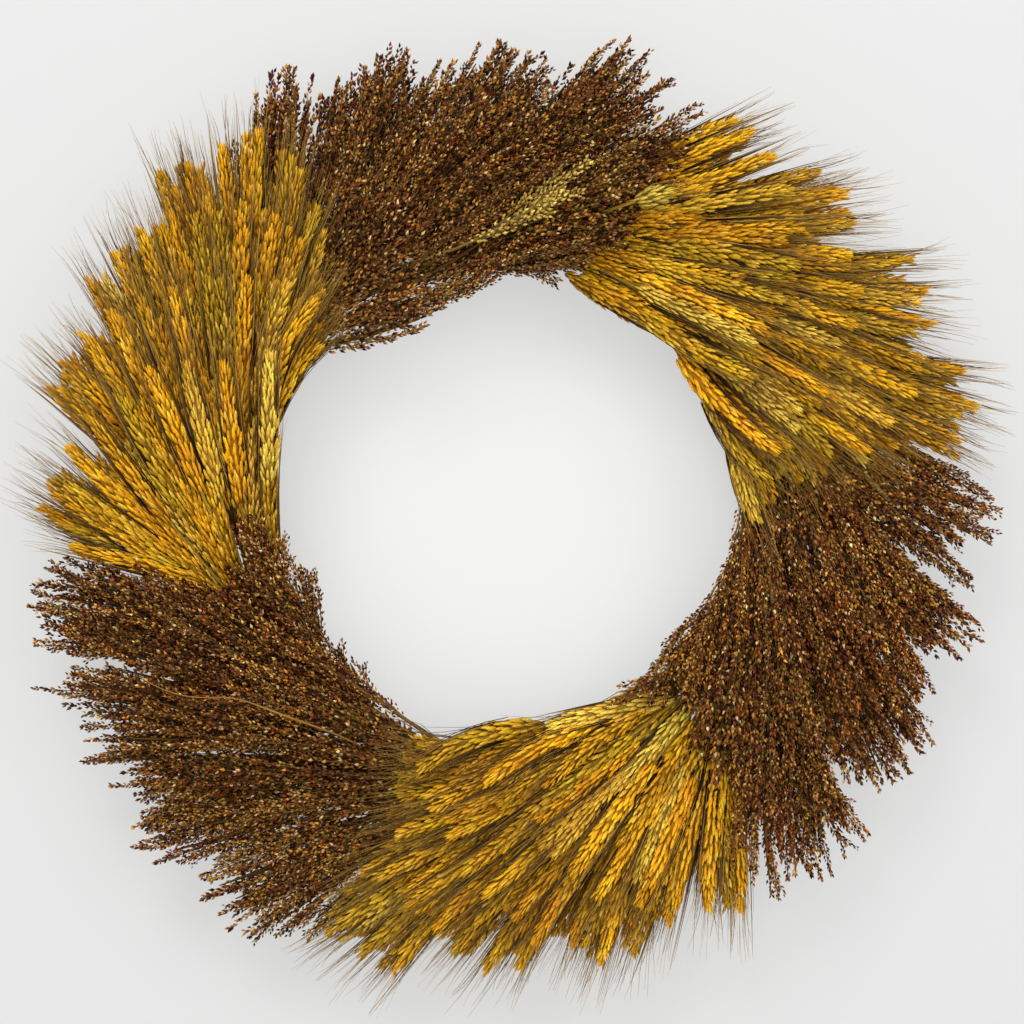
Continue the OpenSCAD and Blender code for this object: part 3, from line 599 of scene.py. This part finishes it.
def broom_bunch(node, seed, tints, tan_share, olive, past, bulge, extra, pale=None):
    """past: how far the outermost tips of this bunch reach beyond the CAD tips, in mm; bulge: how far its edge bows into the hole; extra: (heading, length, head) of loose sprigs; olive: share of unripe olive in the heads at the inner and the outer side of the fan."""
    rng = np.random.default_rng(seed)
    pc = Piece()
    sec = node[:-8]
    st = stalks_of(node)
    st[0]["bow"] = -bulge

    def tint(q):
        a = rng.random()
        c = tints[0] * (1 - a) + tints[rng.integers(1, len(tints))] * a
        g = float(np.interp(heading(q), [-20, 8, 38], [olive[0], 0.7 * olive[0] + 0.3 * olive[1], olive[1]])) * rng.uniform(0.5, 1.4)
        return c * (1 - min(g, 1)) + OLIVE_TAN * min(g, 1)

    def fit(q, L, jitter):
        """Ends the head at its section's end; returns the stalk's length and the head's."""
        L = max(min(L, reach_to(sec, q) + rng.uniform(-jitter, 0.5 * jitter)), 40)
        return L, min(PANICLE, L - 2)

    for q in st:
        out = min(max((heading(q) + 2) / 34, 0.0), 1.0)
        L, head = fit(q, q["len"] + past * out, 6)
        ln = Line(q["foot"], q["dir"], L, rng.normal(0, 2.2), rng.normal(0, 1.2), rng.normal(0, 2.0), q.get("bow", 0.0))
        broom_panicle(pc, rng, ln, tint(q), tan_share * rng.uniform(0.5, 1.6), head=head)
        stem(pc, rng, ln, -TAIL - rng.uniform(2, 16), ln.len - head * 0.35, 1.2, BRANCH * rng.uniform(0.8, 1.2))
    for h, length, head in extra:
        q = aimed(st, h, length)
        ln = Line(q["foot"], q["dir"], length, rng.normal(0, 3.0), rng.normal(0, 1.2), rng.normal(0, 2.0))
        broom_panicle(pc, rng, ln, tint(q), tan_share * 1.2, n_branch=6 if head > 85 else 4, gap=1.1, side=3, wide=1.0 if head > 85 else 0.8, head=head)
        stem(pc, rng, ln, -TAIL - 4, ln.len - head * 0.35, 1.0, BRANCH)
    if pale is not None:  # one branch that has kept its pale green, lying on top
        foot = np.mean([q["foot"] for q in st], 0); tip = np.array(pale[0])
        ln = Line(foot, unit(tip - foot), float(np.linalg.norm(tip - foot)), pale[1], 13.0, 0.0)
        broom_panicle(pc, rng, ln, GREEN_TAN, 0.0, n_branch=5, gap=1.8, side=3, green=1.0, wide=0.74, head=pale[2], big_seed=1.35)
        stem(pc, rng, ln, -TAIL, ln.len - pale[2] * 0.4, 0.9, GREEN_TAN * 0.5)
    for low in (False, True):  # heads that fill the fan, then short ones that close it at its foot
        for q in between(st, 7.6 if low or node.endswith("_1") else 6.0, rng):
            out = min(max((heading(q) + 2) / 34, 0.0), 1.0)
            L = q["len"] + past * out - (rng.uniform(-5, 8) if rng.random() < 0.7 else rng.uniform(8, 30))
            L = rng.uniform(PANICLE + 1, PANICLE + 22) if low else max(L, PANICLE + 4)
            L, head = fit(q, L, 12)
            up = rng.uniform(-8.0, -5.0) if low else rng.choice([-1.0, 1.0], p=[0.75, 0.25]) * rng.uniform(2.5, 6.5)
            f, w = frame_of(q["dir"])
            ln = Line(q["foot"] - q["dir"] * (6.0 if low else 0.0), unit(q["dir"] + f * up / L), L, rng.normal(0, 2.5), rng.normal(0, 1.2), rng.normal(0, 1.6), q["bow"])
            # painted shade: the filling heads are painted a little darker than the main heads, and the low ones behind
            # them darker still
            if low:
                broom_panicle(pc, rng, ln, tint(q) * 0.8, tan_share * 0.6, n_branch=6, gap=2.4, side=1, tpl=CHAFF_LOW, wide=1.5, head=head)
            else:
                broom_panicle(pc, rng, ln, tint(q) * 0.92, tan_share * rng.uniform(0.4, 1.2), n_branch=6, gap=1.5, side=2, tpl=CHAFF, wide=1.3, head=head)
                stem(pc, rng, ln, -TAIL - rng.uniform(0, 12), ln.len - head * 0.5, 1.1, BRANCH * rng.uniform(0.7, 1.1), 5)
    for pts, r, c in STRAWS.get(node, []):  # bent straws that lie across the heads
        pts = np.array(pts, dtype=float)
        far = np.concatenate([[0], np.cumsum(np.linalg.norm(np.diff(pts, axis=0), axis=1))])
        u = np.linspace(0, far[-1], 33)
        path = np.stack([np.interp(u, far, pts[:, k]) for k in range(3)], -1)
        for _ in range(6):
            path[1:-1] = (path[:-2] + 2 * path[1:-1] + path[2:]) / 4
        pc.tubes(hold(path)[None], (r * np.interp(u / far[-1], [0, 0.4, 0.55, 0.75, 1], [0.5, 0.8, 1.3, 1.0, 1.0]))[None], 6, (c * 1.1)[None], (c * 0.8)[None], kind=0.5)
    if node.endswith("_1"):  # short heads that close the section at its start
        r = unit(np.array([st[0]["foot"][0], 0.0, st[0]["foot"][2]])); t = np.array([r[2], 0.0, -r[0]])
        for h in np.arange({"broomcorn_top": -36.0, "broomcorn_right": -12.0, "broomcorn_left": -18.0}[sec], 50.0, 7.8):
            q = aimed(st, h + rng.uniform(-2, 2), 0.0)
            L, head = fit(q, rng.uniform(88, 122), 8)
            ln = Line(q["foot"] - t * rng.uniform(2, 22) - r * float(np.interp(h, [-36, 0], [8, 0])), q["dir"], L, rng.normal(0, 2.5), rng.uniform(0, 3), rng.normal(0, 1.6))
            # painted shade: these short heads are painted a little darker than the main heads
            broom_panicle(pc, rng, ln, tint(q) * 0.92, tan_share * rng.uniform(0.4, 1.2), n_branch=6, gap=1.7, side=2, tpl=CHAFF, wide=1.2, head=head)
    ob = pc.make(node + "_stalks", MAT_BROOM)
    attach(ob, ROOT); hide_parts(node)
    return ob


# ---------------------------------------------------------------- materials

class Net:
    def __init__(self, name):
        self.m = bpy.data.materials.new(name)
        self.m.use_nodes = True
        self.t = self.m.node_tree
        self.t.nodes.clear()
        self.out = self.n("ShaderNodeOutputMaterial")

    def n(self, kind, **kw):
        nd = self.t.nodes.new(kind)
        for k, v in kw.items():
            setattr(nd, k, v)
        return nd

    def link(self, a, b):
        self.t.links.new(a, b)

    def math(self, op, a, b=None, clamp=False):
        nd = self.n("ShaderNodeMath", operation=op, use_clamp=clamp)
        for i, x in enumerate((a, b)):
            if x is None:
                continue
            if isinstance(x, (int, float)):
                nd.inputs[i].default_value = x
            else:
                self.link(x, nd.inputs[i])
        return nd.outputs[0]

    def noise(self, vec, scale, detail=3.0, rough=0.55):
        nd = self.n("ShaderNodeTexNoise")
        nd.inputs["Scale"].default_value = scale
        nd.inputs["Detail"].default_value = detail
        nd.inputs["Roughness"].default_value = rough
        if vec is not None:
            self.link(vec, nd.inputs["Vector"])
        return nd.outputs["Fac"]

    def remap(self, x, a, b, c, d):
        nd = self.n("ShaderNodeMapRange")
        self.link(x, nd.inputs["Value"])
        for k, v in zip(("From Min", "From Max", "To Min", "To Max"), (a, b, c, d)):
            nd.inputs[k].default_value = v
        return nd.outputs["Result"]

    def mix(self, fac, a, b, mode="MIX"):
        nd = self.n("ShaderNodeMix", data_type="RGBA", blend_type=mode)
        for sock, x in ((nd.inputs["Factor"], fac), (nd.inputs[6], a), (nd.inputs[7], b)):
            if hasattr(x, "links"):
                self.link(x, sock)
            elif isinstance(x, (int, float)):
                sock.default_value = x
            else:
                sock.default_value = (*x, 1.0)
        return nd.outputs[2]


def plant_material(name, rib, rib_depth, noise_scale, speck, rough_lo, rough_hi, spec):
    """Dry husk: the grain's own colour, ribs along it, fine fibre mottling and dark specks, with matching roughness and bump."""
    k = Net(name)
    bs = k.n("ShaderNodeBsdfPrincipled"); k.link(bs.outputs[0], k.out.inputs[0])
    col = k.n("ShaderNodeAttribute", attribute_name="plant_color")
    gr = k.n("ShaderNodeAttribute", attribute_name="grain")
    sep = k.n("ShaderNodeSeparateXYZ"); k.link(gr.outputs["Vector"], sep.inputs[0])
    tc = k.n("ShaderNodeTexCoord")
    fine = k.noise(tc.outputs["Object"], noise_scale, 4.0, 0.6)
    broad = k.noise(tc.outputs["Object"], 38.0, 2.0, 0.5)
    ribs = k.math("SINE", k.math("MULTIPLY", sep.outputs["X"], rib * math.pi))
    ribs = k.math("ADD", k.math("MULTIPLY", ribs, 0.5), 0.5)
    v = k.math("MULTIPLY", k.remap(fine, 0.25, 0.75, 0.72, 1.28), k.remap(broad, 0.3, 0.7, 0.86, 1.14))
    v = k.math("MULTIPLY", v, k.remap(ribs, 0.0, 1.0, 0.88, 1.08))
    hsv = k.n("ShaderNodeHueSaturation")
    k.link(col.outputs["Color"], hsv.inputs["Color"])
    k.link(v, hsv.inputs["Value"])
    k.link(k.remap(broad, 0.3, 0.7, 0.492, 0.508), hsv.inputs["Hue"])
    spk = k.remap(k.noise(tc.outputs["Object"], noise_scale * 1.7, 2.0, 0.5), 0.60, 0.72, 0.0, speck)
    c = k.mix(spk, hsv.outputs["Color"], (0.045, 0.022, 0.010))
    k.link(c, bs.inputs["Base Color"])
    k.link(k.remap(k.math("ADD", k.math("MULTIPLY", fine, 0.6), k.math("MULTIPLY", ribs, 0.4)), 0.2, 0.8, rough_lo, rough_hi), bs.inputs["Roughness"])
    bs.inputs["Specular IOR Level"].default_value = spec
    h = k.math("ADD", k.math("MULTIPLY", ribs, rib_depth), k.math("MULTIPLY", fine, 0.5))
    bump = k.n("ShaderNodeBump")
    bump.inputs["Strength"].default_value = 0.45
    bump.inputs["Distance"].default_value = 0.0004
    k.link(h, bump.inputs["Height"]); k.link(bump.outputs[0], bs.inputs["Normal"])
    return k.m


MAT_WHEAT = plant_material("dry_wheat", 7.0, 0.6, 900.0, 0.22, 0.48, 0.76, 0.18)
MAT_BROOM = plant_material("dry_broomcorn", 5.0, 0.5, 1100.0, 0.45, 0.50, 0.80, 0.16)


def wire_material(name, paint, bare, wear, rough, metallic, streak=300.0):
    """Enamelled or drawn wire: broad shade changes, drawn streaks and worn, brighter patches."""
    k = Net(name)
    bs = k.n("ShaderNodeBsdfPrincipled"); k.link(bs.outputs[0], k.out.inputs[0])
    tc = k.n("ShaderNodeTexCoord")
    broad = k.noise(tc.outputs["Object"], 60.0, 3.0)
    fine = k.noise(tc.outputs["Object"], streak, 5.0, 0.65)
    spot = k.remap(k.noise(tc.outputs["Object"], 170.0, 4.0, 0.7), 0.60, 0.68, 0.0, wear)
    base = k.mix(k.remap(broad, 0.3, 0.7, 0.0, 1.0), tuple(x * 0.72 for x in paint), tuple(min(1, x * 1.25) for x in paint))
    k.link(k.mix(spot, base, bare), bs.inputs["Base Color"])
    k.link(k.remap(fine, 0.3, 0.7, rough * 0.75, min(1, rough * 1.3)), bs.inputs["Roughness"])
    bs.inputs["Metallic"].default_value = metallic
    bump = k.n("ShaderNodeBump"); bump.inputs["Strength"].default_value = 0.25; bump.inputs["Distance"].default_value = 0.0002
    k.link(fine, bump.inputs["Height"]); k.link(bump.outputs[0], bs.inputs["Normal"])
    return k.m


WIRES = {
    "frame_wire": wire_material("green_enamel_wire", (0.035, 0.12, 0.05), (0.30, 0.30, 0.27), 0.7, 0.42, 0.0),
    "tie_wire": wire_material("olive_tie_wire", (0.13, 0.16, 0.05), (0.32, 0.30, 0.22), 0.6, 0.45, 0.0),
    "paddle_wire": wire_material("green_paddle_wire", (0.05, 0.15, 0.06), (0.28, 0.28, 0.25), 0.6, 0.40, 0.0),
    "hanger_wire": wire_material("bright_drawn_wire", (0.56, 0.56, 0.54), (0.30, 0.27, 0.23), 0.35, 0.30, 1.0, 700.0),
    "hanger_sleeve": wire_material("crimped_tube", (0.66, 0.66, 0.66), (0.42, 0.41, 0.40), 0.4, 0.36, 1.0, 500.0),
}
for sp in frame["record"]["subparts"]:
    if sp["material_slot"] in WIRES:
        o = NODES[sp["node"]]
        if not o.material_slots:
            o.data.materials.append(WIRES[sp["material_slot"]])
        for ms in o.material_slots:
            ms.material = WIRES[sp["material_slot"]]

# ---------------------------------------------------------------- bunches

BROOM_TINTS = {"broomcorn_top": ([BROWN, MAROON, OLIVE_BROWN], 0.20), "broomcorn_right": ([BROWN, RUST, OLIVE_BROWN], 0.22),
               "broomcorn_left": ([MAROON, BROWN, OLIVE_BROWN], 0.20)}
OLIVE_SHARE = {"broomcorn_top": [(0.45, 0.0), (0.6, 0.25), (0.65, 0.2), (0.5, 0.0)], "broomcorn_right": [(0.15, 0.15), (0.4, 0.0), (0.6, 0.0), (0.75, 0.1)],
               "broomcorn_left": [(0.3, 0.75), (0.25, 0.5), (0.0, 0.1), (0.0, 0.0)]}
PAST = {"wheat_left": 9, "broomcorn_top": -9, "wheat_right": 15, "broomcorn_right": 3, "wheat_bottom": 11, "broomcorn_left": 8}
# how each hand-tied bunch differs: extra reach at the rim, bow of its edge into the hole, both in mm
LOOSE = [(-2, -2), (-2, -7), (5, -6), (4, 2), (10, 8), (-3, 2), (-3, -3), (2, 2), (-10, 4), (-10, 7), (0, 8), (2, 4),
         (0, 0), (3, 4), (-2, 9), (3, 8), (-5, 8), (-2, 9), (-5, 0), (9, -7), (0, -2), (5, 2), (-5, 8), (-4, 2)]
# loose ears (heading, length, ear length, tilt) and loose sprigs (heading, length, head) that stray from the fans
STRAY = {"wheat_bottom_bunch_1": [(-38, 112, 86)], "wheat_left_bunch_1": [(48, 122, 86), (54, 108, 86)], "wheat_right_bunch_1": [(26, 90, 24, 39)],
         "broomcorn_top_bunch_1": [(-47, 82, 62)], "broomcorn_left_bunch_1": [(50, 140, 104), (56, 128, 96)],
         "broomcorn_left_bunch_3": [(-44, 98, 66), (33, 166, 80)], "broomcorn_left_bunch_2": [(-45, 74, 56), (25.5, 148, 112), (33, 150, 112), (39, 148, 112), (42.5, 140, 104), (55, 112, 90)],
         "broomcorn_right_bunch_4": [(-39, 104, 70), (28, 164, 80)], "broomcorn_right_bunch_1": [(46, 150, 70)], "broomcorn_right_bunch_2": [(26.5, 150, 104)]}
# bent straws that lie across the heads: points in mm, radius in mm, colour
STRAWS = {"broomcorn_left_bunch_2": [([(-219, -72, -103), (-209, -74, -110), (-183, -77, -117), (-165, -78, -113), (-135, -77, -125), (-100, -66, -138), (-76, -28, -154)], 0.55, lin("#9c7436"))]}
# the pale branch in the top section: its tip in mm, its bow and how much of it bears grain
PALE_BRANCH = ((49.0, -80.0, 203.0), -15.0, 92.0)
for si, (sec, kind) in enumerate(SECTIONS):
    for j in range(1, 5):
        node = f"{sec}_bunch_{j}"
        reach, bulge = LOOSE[si * 4 + j - 1]
        if kind == "wheat":
            wheat_bunch(node, 100 + si * 10 + j, PAST[sec] + reach, bulge, STRAY.get(node, []))
        else:
            tints, share = BROOM_TINTS[sec]
            broom_bunch(node, 100 + si * 10 + j, tints, share, OLIVE_SHARE[sec][j - 1], PAST[sec] + reach, bulge, STRAY.get(node, []), PALE_BRANCH if node == "broomcorn_top_bunch_2" else None)

# ---------------------------------------------------------------- stage, light and camera

lo, hi = CAD_BOX
mid = (Vector(lo) + Vector(hi)) / 2
width = max(hi[0] - lo[0], hi[2] - lo[2])


def stage_material(name, colour, glow=0.0, far=0.0):
    """Matt pale paper; glow is painted light that the paper gives off, which softens the shadows on it."""
    k = Net(name)
    bs = k.n("ShaderNodeBsdfPrincipled"); k.link(bs.outputs[0], k.out.inputs[0])
    tc = k.n("ShaderNodeTexCoord")
    f = k.noise(tc.outputs["Object"], 2.0, 2.0)
    c = k.mix(k.remap(f, 0.3, 0.7, 0.0, 1.0), tuple(x * 0.985 for x in colour), colour)
    k.link(c, bs.inputs["Base Color"])
    bs.inputs["Roughness"].default_value = 0.9
    bs.inputs["Specular IOR Level"].default_value = 0.1
    bs.inputs["Emission Color"].default_value = (0.995, 1.0, 0.998, 1.0)
    bs.inputs["Emission Strength"].default_value = glow
    if far:  # painted light: the floor glows more with distance from its centre, so it fades into the pale background
        sh = k.n("ShaderNodeVectorMath", operation="LENGTH"); k.link(tc.outputs["Object"], sh.inputs[0])
        k.link(k.remap(sh.outputs["Value"], 1.0, 6.0, 0.0, far), bs.inputs["Emission Strength"])
    if glow:  # painted light: the paper glows a little more around the centre of the hole
        sh = k.n("ShaderNodeVectorMath", operation="LENGTH"); k.link(tc.outputs["Object"], sh.inputs[0])
        k.link(k.remap(sh.outputs["Value"], 0.08, 0.15, glow + 0.085, glow), bs.inputs["Emission Strength"])
    return k.m


def plane(name, corners, mat):
    me = bpy.data.meshes.new(name)
    me.from_pydata(corners, [], [(0, 1, 2, 3)])
    me.materials.append(mat)
    ob = bpy.data.objects.new(name, me)
    bpy.context.scene.collection.objects.link(ob)
    return ob


# painted light: the backdrop glows, which lifts the shadows on it
wall = plane("backdrop", [(-4, 0, -3.5), (4, 0, -3.5), (4, 0, 3.5), (-4, 0, 3.5)], stage_material("painted_glow_paper", (0.30, 0.303, 0.30), 0.482))
wall.location = (0, hi[1] + 0.004, 0)
# painted light: the floor glows more towards its far edges
floor = plane("floor", [(-24, -24, 0), (24, -24, 0), (24, 24, 0), (-24, 24, 0)], stage_material("pale_ground", (0.62, 0.624, 0.62), 0.0, 0.27))
floor.location = (0, 0, lo[2] - 0.12)

cam = bpy.data.objects.new("camera", bpy.data.cameras.new("camera"))
bpy.context.scene.collection.objects.link(cam)
cam.data.sensor_width = 36.0
dist = 2.1
cam.data.lens = 36.0 * dist / 0.635
cam.location = (0.0043, -dist, -0.0043)
cam.rotation_euler = (math.pi / 2, 0, 0)
cam.data.clip_start, cam.data.clip_end = 0.05, 50
bpy.context.scene.camera = cam


def area(name, loc, aim, size, power, colour=(1, 1, 1)):
    li = bpy.data.lights.new(name, "AREA")
    li.shape, li.size, li.energy, li.color = "DISK", size, power, colour
    ob = bpy.data.objects.new(name, li)
    bpy.context.scene.collection.objects.link(ob)
    ob.location = loc
    ob.rotation_euler = (Vector(aim) - Vector(loc)).to_track_quat("-Z", "Y").to_euler()
    return ob


area("key", (-0.7, -2.0, 1.9), (0, 0, 0), 1.4, 30, (1.0, 0.985, 0.96))
area("fill", (1.5, -2.0, 0.9), (0, 0, 0), 1.6, 13, (0.97, 0.985, 1.0))
area("low_fill", (0.0, -1.8, -0.5), (0, 0, -0.1), 1.2, 11.5)
area("back_light", (0.9, 1.8, 1.2), (0, 0, 0), 1.4, 24)
world = bpy.data.worlds.new("studio")
bpy.context.scene.world = world
world.use_nodes = True
world.node_tree.nodes["Background"].inputs[0].default_value = (0.98, 0.985, 0.98, 1)
world.node_tree.nodes["Background"].inputs[1].default_value = 0.72
bpy.context.scene.view_settings.view_transform = "Standard"

# From behind or beside, the backdrop stands beyond the wreath from the camera, so every side can be seen.
drv = wall.driver_add("location", 1).driver
drv.type = "SCRIPTED"
for nm, ax in (("cx", "LOC_X"), ("cy", "LOC_Y")):
    va = drv.variables.new(); va.name = nm; va.type = "TRANSFORMS"
    va.targets[0].id = cam; va.targets[0].transform_type = ax; va.targets[0].transform_space = "WORLD_SPACE"
drv.expression = f"{hi[1] + 0.004:.5f} if cy < -0.5 * fabs(cx) else 3.4"

bpy.context.view_layer.update()
